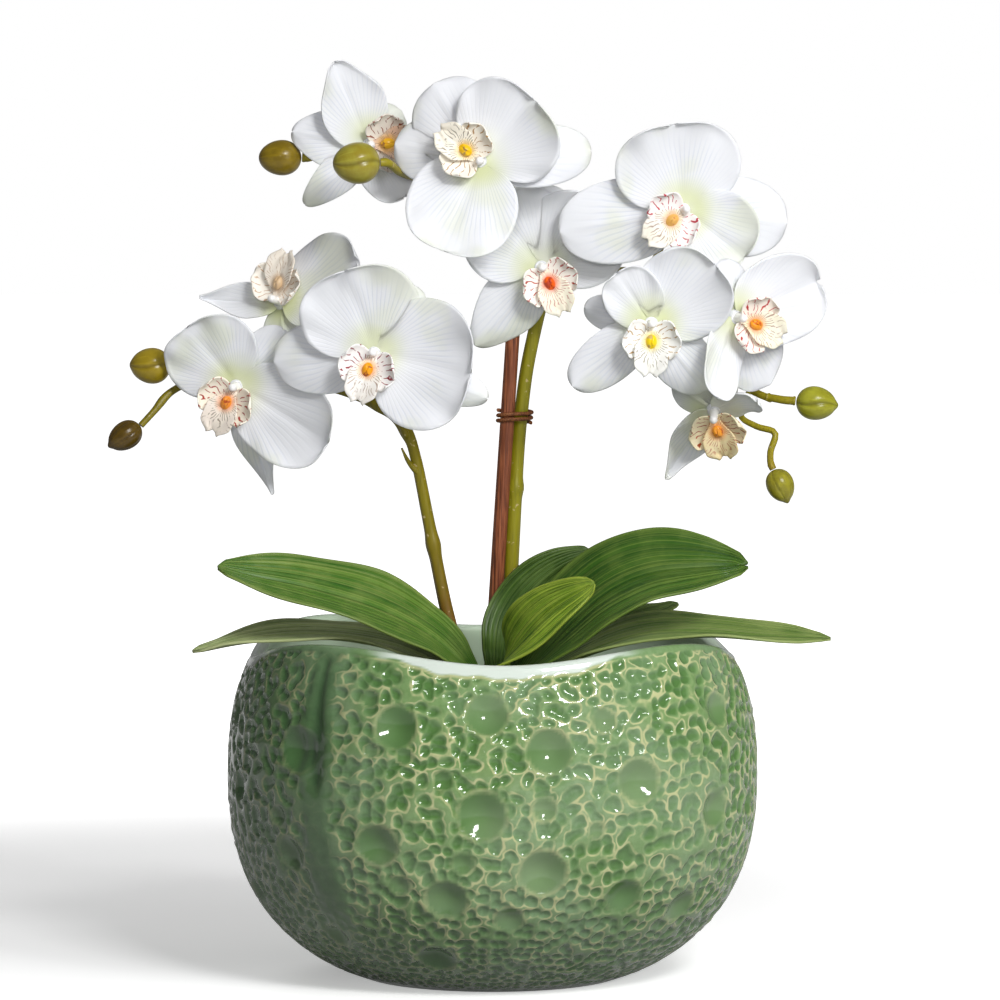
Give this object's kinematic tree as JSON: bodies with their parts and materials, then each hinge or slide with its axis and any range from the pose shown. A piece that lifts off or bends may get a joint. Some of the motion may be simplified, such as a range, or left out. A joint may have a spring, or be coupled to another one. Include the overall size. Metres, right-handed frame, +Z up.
{
  "type": "ceramic planter",
  "caption": "Rounded square glazed ceramic bowl planter with a cratered wall and wavy rim, holding a lift-out planting of white moth orchids with leaves, buds and a stake.",
  "frame": {"origin": "centre of the bowl's flat foot, on the surface it stands on", "axes": "+Z up; -Y towards the front of the arrangement; +X to its right"},
  "size_m": [0.2882, 0.2104, 0.3635],
  "materials": {
    "green_glaze": "gloss",
    "liner_plastic": "satin",
    "foam_block": "matte",
    "moss": "matte",
    "crown_plastic": "satin",
    "leaf_plastic": "satin",
    "petal_fabric": "matte",
    "lip_fabric": "matte",
    "bud_plastic": "satin",
    "stem_plastic": "satin",
    "reed": "satin",
    "raffia": "matte"
  },
  "bodies": {
    "planter": {"pot": "green_glaze"},
    "planting": {"liner_pot": "liner_plastic", "potting_foam": "foam_block", "moss_top": "moss", "leaf_crown": "crown_plastic", "leaf_left_upper": "leaf_plastic", "leaf_left_lower": "leaf_plastic", "leaf_right_upper": "leaf_plastic", "leaf_right_back": "leaf_plastic", "leaf_front": "leaf_plastic", "leaf_right_lower": "leaf_plastic", "leaf_back_right": "leaf_plastic", "leaf_back_left": "leaf_plastic", "bloom_left_front_sepals": "petal_fabric", "bloom_left_front_petals": "petal_fabric", "bloom_left_front_lip": "lip_fabric", "bloom_left_outer_sepals": "petal_fabric", "bloom_left_outer_petals": "petal_fabric", "bloom_left_outer_lip": "lip_fabric", "bloom_left_back_sepals": "petal_fabric", "bloom_left_back_petals": "petal_fabric", "bloom_left_back_lip": "lip_fabric", "bloom_top_left_sepals": "petal_fabric", "bloom_top_left_petals": "petal_fabric", "bloom_top_left_lip": "lip_fabric", "bloom_top_centre_sepals": "petal_fabric", "bloom_top_centre_petals": "petal_fabric", "bloom_top_centre_lip": "lip_fabric", "bloom_centre_sepals": "petal_fabric", "bloom_centre_petals": "petal_fabric", "bloom_centre_lip": "lip_fabric", "bloom_right_top_sepals": "petal_fabric", "bloom_right_top_petals": "petal_fabric", "bloom_right_top_lip": "lip_fabric", "bloom_centre_right_sepals": "petal_fabric", "bloom_centre_right_petals": "petal_fabric", "bloom_centre_right_lip": "lip_fabric", "bloom_right_sepals": "petal_fabric", "bloom_right_petals": "petal_fabric", "bloom_right_lip": "lip_fabric", "bloom_right_lower_sepals": "petal_fabric", "bloom_right_lower_petals": "petal_fabric", "bloom_right_lower_lip": "lip_fabric", "bud_top_outer": "bud_plastic", "bud_top_inner": "bud_plastic", "bud_left_upper": "bud_plastic", "bud_left_lower": "bud_plastic", "bud_right_upper": "bud_plastic", "bud_right_lower": "bud_plastic", "stem_left": "stem_plastic", "stem_centre": "stem_plastic", "spray_left": "stem_plastic", "spray_right": "stem_plastic", "reed_stake": "reed", "raffia_tie": "raffia"}
  },
  "joints": [
    {"name": "planting_lift", "type": "slide", "parent": "planter", "child": "planting", "axis": [0, 0, 1], "range_m": [0, 0.15]}
  ]
}
